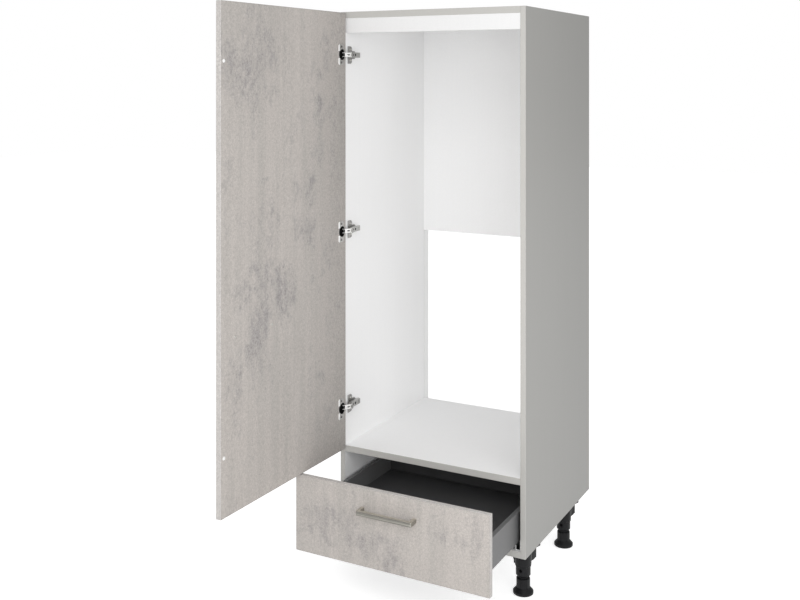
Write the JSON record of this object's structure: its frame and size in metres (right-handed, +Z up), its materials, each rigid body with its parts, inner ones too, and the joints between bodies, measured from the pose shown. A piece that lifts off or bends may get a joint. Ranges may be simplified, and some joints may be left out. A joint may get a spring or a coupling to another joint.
{
  "type": "fridge housing unit",
  "caption": "Tall kitchen cabinet housing for a built-in fridge, with a hinged full-height door above a full-extension drawer, an open ventilated rear and adjustable legs.",
  "frame": {"origin": "on the floor, below the middle of the unit with its door and drawer open as at rest, which is 16 mm left of the mid width of the carcass, in the plane of the outer faces of the closed fronts", "axes": "+X to the right seen from the front, +Y from the front to the rear, +Z up"},
  "size_m": [0.6347, 1.1761, 1.661],
  "materials": {
    "grey_board": "light grey melamine on board, smooth and matt",
    "white_board": "white melamine on board with light grey edging",
    "back_board": "thin white coated fibreboard",
    "concrete_board": "matt laminate in a mottled warm grey concrete pattern",
    "dark_board": "anthracite coated board",
    "drawer_metal": "anthracite powder-coated sheet steel",
    "hinge_metal": "bright nickel-plated steel",
    "steel": "zinc-plated steel",
    "dark_steel": "blackened steel screws",
    "cam_metal": "die-cast zinc, bare",
    "beech": "plain ribbed beech dowels",
    "bumper_plastic": "soft translucent white bumper",
    "bracket_metal": "pressed zinc-plated steel",
    "nickel": "satin brushed nickel",
    "runner_steel": "zinc-plated rolled steel",
    "leg_plastic": "black moulded plastic"
  },
  "bodies": {
    "carcass": {"side_panel_left": "grey_board", "side_panel_right": "grey_board", "top_panel": "white_board", "top_front_rail": "white_board", "appliance_shelf": "white_board", "bottom_panel": "white_board", "back_panel": "back_board", "back_screws": "steel", "panel_dowels": "beech", "cam_bolts": "steel", "cam_locks": "cam_metal", "hinge_arm_top": "hinge_metal", "hinge_arm_middle": "hinge_metal", "hinge_arm_bottom": "hinge_metal", "hinge_arm_pins": "steel", "hinge_plate_top": "hinge_metal", "hinge_plate_middle": "hinge_metal", "hinge_plate_bottom": "hinge_metal", "hinge_plate_screws": "steel", "hinge_adjusting_screws": "dark_steel", "runner_rail_left": "runner_steel", "runner_rail_right": "runner_steel", "runner_screws": "steel", "leg_front_left": "leg_plastic", "leg_front_right": "leg_plastic", "leg_rear_left": "leg_plastic", "leg_rear_right": "leg_plastic", "leg_screws": "steel"},
    "door": {"door_panel": "concrete_board", "door_bumpers": "bumper_plastic", "door_handle": "nickel", "door_handle_screws": "steel", "hinge_cup_top": "hinge_metal", "hinge_cup_middle": "hinge_metal", "hinge_cup_bottom": "hinge_metal", "hinge_cup_screws": "steel"},
    "drawer": {"drawer_front": "concrete_board", "drawer_side_left": "drawer_metal", "drawer_side_right": "drawer_metal", "drawer_base": "dark_board", "drawer_back": "dark_board", "drawer_brackets": "bracket_metal", "drawer_screws": "steel", "handle": "nickel", "handle_screws": "steel", "runner_slide_left": "runner_steel", "runner_slide_right": "runner_steel"},
    "runner_middle_left": {"runner_middle_left": "runner_steel"},
    "runner_middle_right": {"runner_middle_right": "runner_steel"},
    "outer_link_top": {"outer_link_top": "hinge_metal"},
    "inner_link_top": {"inner_link_top": "hinge_metal"},
    "outer_link_middle": {"outer_link_middle": "hinge_metal"},
    "inner_link_middle": {"inner_link_middle": "hinge_metal"},
    "outer_link_bottom": {"outer_link_bottom": "hinge_metal"},
    "inner_link_bottom": {"inner_link_bottom": "hinge_metal"},
    "foot_front_left": {"foot_front_left": "leg_plastic"},
    "foot_front_right": {"foot_front_right": "leg_plastic"},
    "foot_rear_left": {"foot_rear_left": "leg_plastic"},
    "foot_rear_right": {"foot_rear_right": "leg_plastic"}
  },
  "joints": [
    {"name": "door_hinge", "type": "hinge", "parent": "carcass", "child": "door", "pos_m": [-0.2745, 0.002, 0.99775], "axis": [0, 0, -1], "range_deg": [-91.1, 13.9]},
    {"name": "outer_link_top_turn", "type": "hinge", "parent": "carcass", "child": "outer_link_top", "pos_m": [-0.247, 0.0191, 1.5305], "axis": [0, 0, 1], "range_deg": [-36.5, 5.6]},
    {"name": "inner_link_top_turn", "type": "hinge", "parent": "carcass", "child": "inner_link_top", "pos_m": [-0.2545, 0.0215, 1.5305], "axis": [0, 0, 1], "range_deg": [-36.5, 5.6]},
    {"name": "outer_link_middle_turn", "type": "hinge", "parent": "carcass", "child": "outer_link_middle", "pos_m": [-0.247, 0.0191, 0.99775], "axis": [0, 0, 1], "range_deg": [-36.5, 5.6]},
    {"name": "inner_link_middle_turn", "type": "hinge", "parent": "carcass", "child": "inner_link_middle", "pos_m": [-0.2545, 0.0215, 0.99775], "axis": [0, 0, 1], "range_deg": [-36.5, 5.6]},
    {"name": "outer_link_bottom_turn", "type": "hinge", "parent": "carcass", "child": "outer_link_bottom", "pos_m": [-0.247, 0.0191, 0.465], "axis": [0, 0, 1], "range_deg": [-36.5, 5.6]},
    {"name": "inner_link_bottom_turn", "type": "hinge", "parent": "carcass", "child": "inner_link_bottom", "pos_m": [-0.2545, 0.0215, 0.465], "axis": [0, 0, 1], "range_deg": [-36.5, 5.6]},
    {"name": "drawer_slide", "type": "slide", "parent": "carcass", "child": "drawer", "axis": [0, -1, 0], "range_m": [-0.2285, 0.2415]},
    {"name": "runner_middle_left_slide", "type": "slide", "parent": "carcass", "child": "runner_middle_left", "axis": [0, -1, 0], "range_m": [-0.1143, 0.1208]},
    {"name": "runner_middle_right_slide", "type": "slide", "parent": "carcass", "child": "runner_middle_right", "axis": [0, -1, 0], "range_m": [-0.1143, 0.1208]},
    {"name": "foot_front_left_turn", "type": "hinge", "parent": "carcass", "child": "foot_front_left", "pos_m": [-0.255, 0.075, 0.021], "axis": [0, 0, 1], "continuous": true},
    {"name": "foot_front_right_turn", "type": "hinge", "parent": "carcass", "child": "foot_front_right", "pos_m": [0.287, 0.075, 0.021], "axis": [0, 0, 1], "continuous": true},
    {"name": "foot_rear_left_turn", "type": "hinge", "parent": "carcass", "child": "foot_rear_left", "pos_m": [-0.255, 0.4205, 0.021], "axis": [0, 0, 1], "continuous": true},
    {"name": "foot_rear_right_turn", "type": "hinge", "parent": "carcass", "child": "foot_rear_right", "pos_m": [0.287, 0.4205, 0.021], "axis": [0, 0, 1], "continuous": true}
  ],
  "couplings": [
    {"joint": "outer_link_top_turn", "follows": "door_hinge", "ratio": 0.4},
    {"joint": "inner_link_top_turn", "follows": "door_hinge", "ratio": 0.4},
    {"joint": "outer_link_middle_turn", "follows": "door_hinge", "ratio": 0.4},
    {"joint": "inner_link_middle_turn", "follows": "door_hinge", "ratio": 0.4},
    {"joint": "outer_link_bottom_turn", "follows": "door_hinge", "ratio": 0.4},
    {"joint": "inner_link_bottom_turn", "follows": "door_hinge", "ratio": 0.4},
    {"joint": "runner_middle_left_slide", "follows": "drawer_slide", "ratio": 0.5},
    {"joint": "runner_middle_right_slide", "follows": "drawer_slide", "ratio": 0.5}
  ]
}
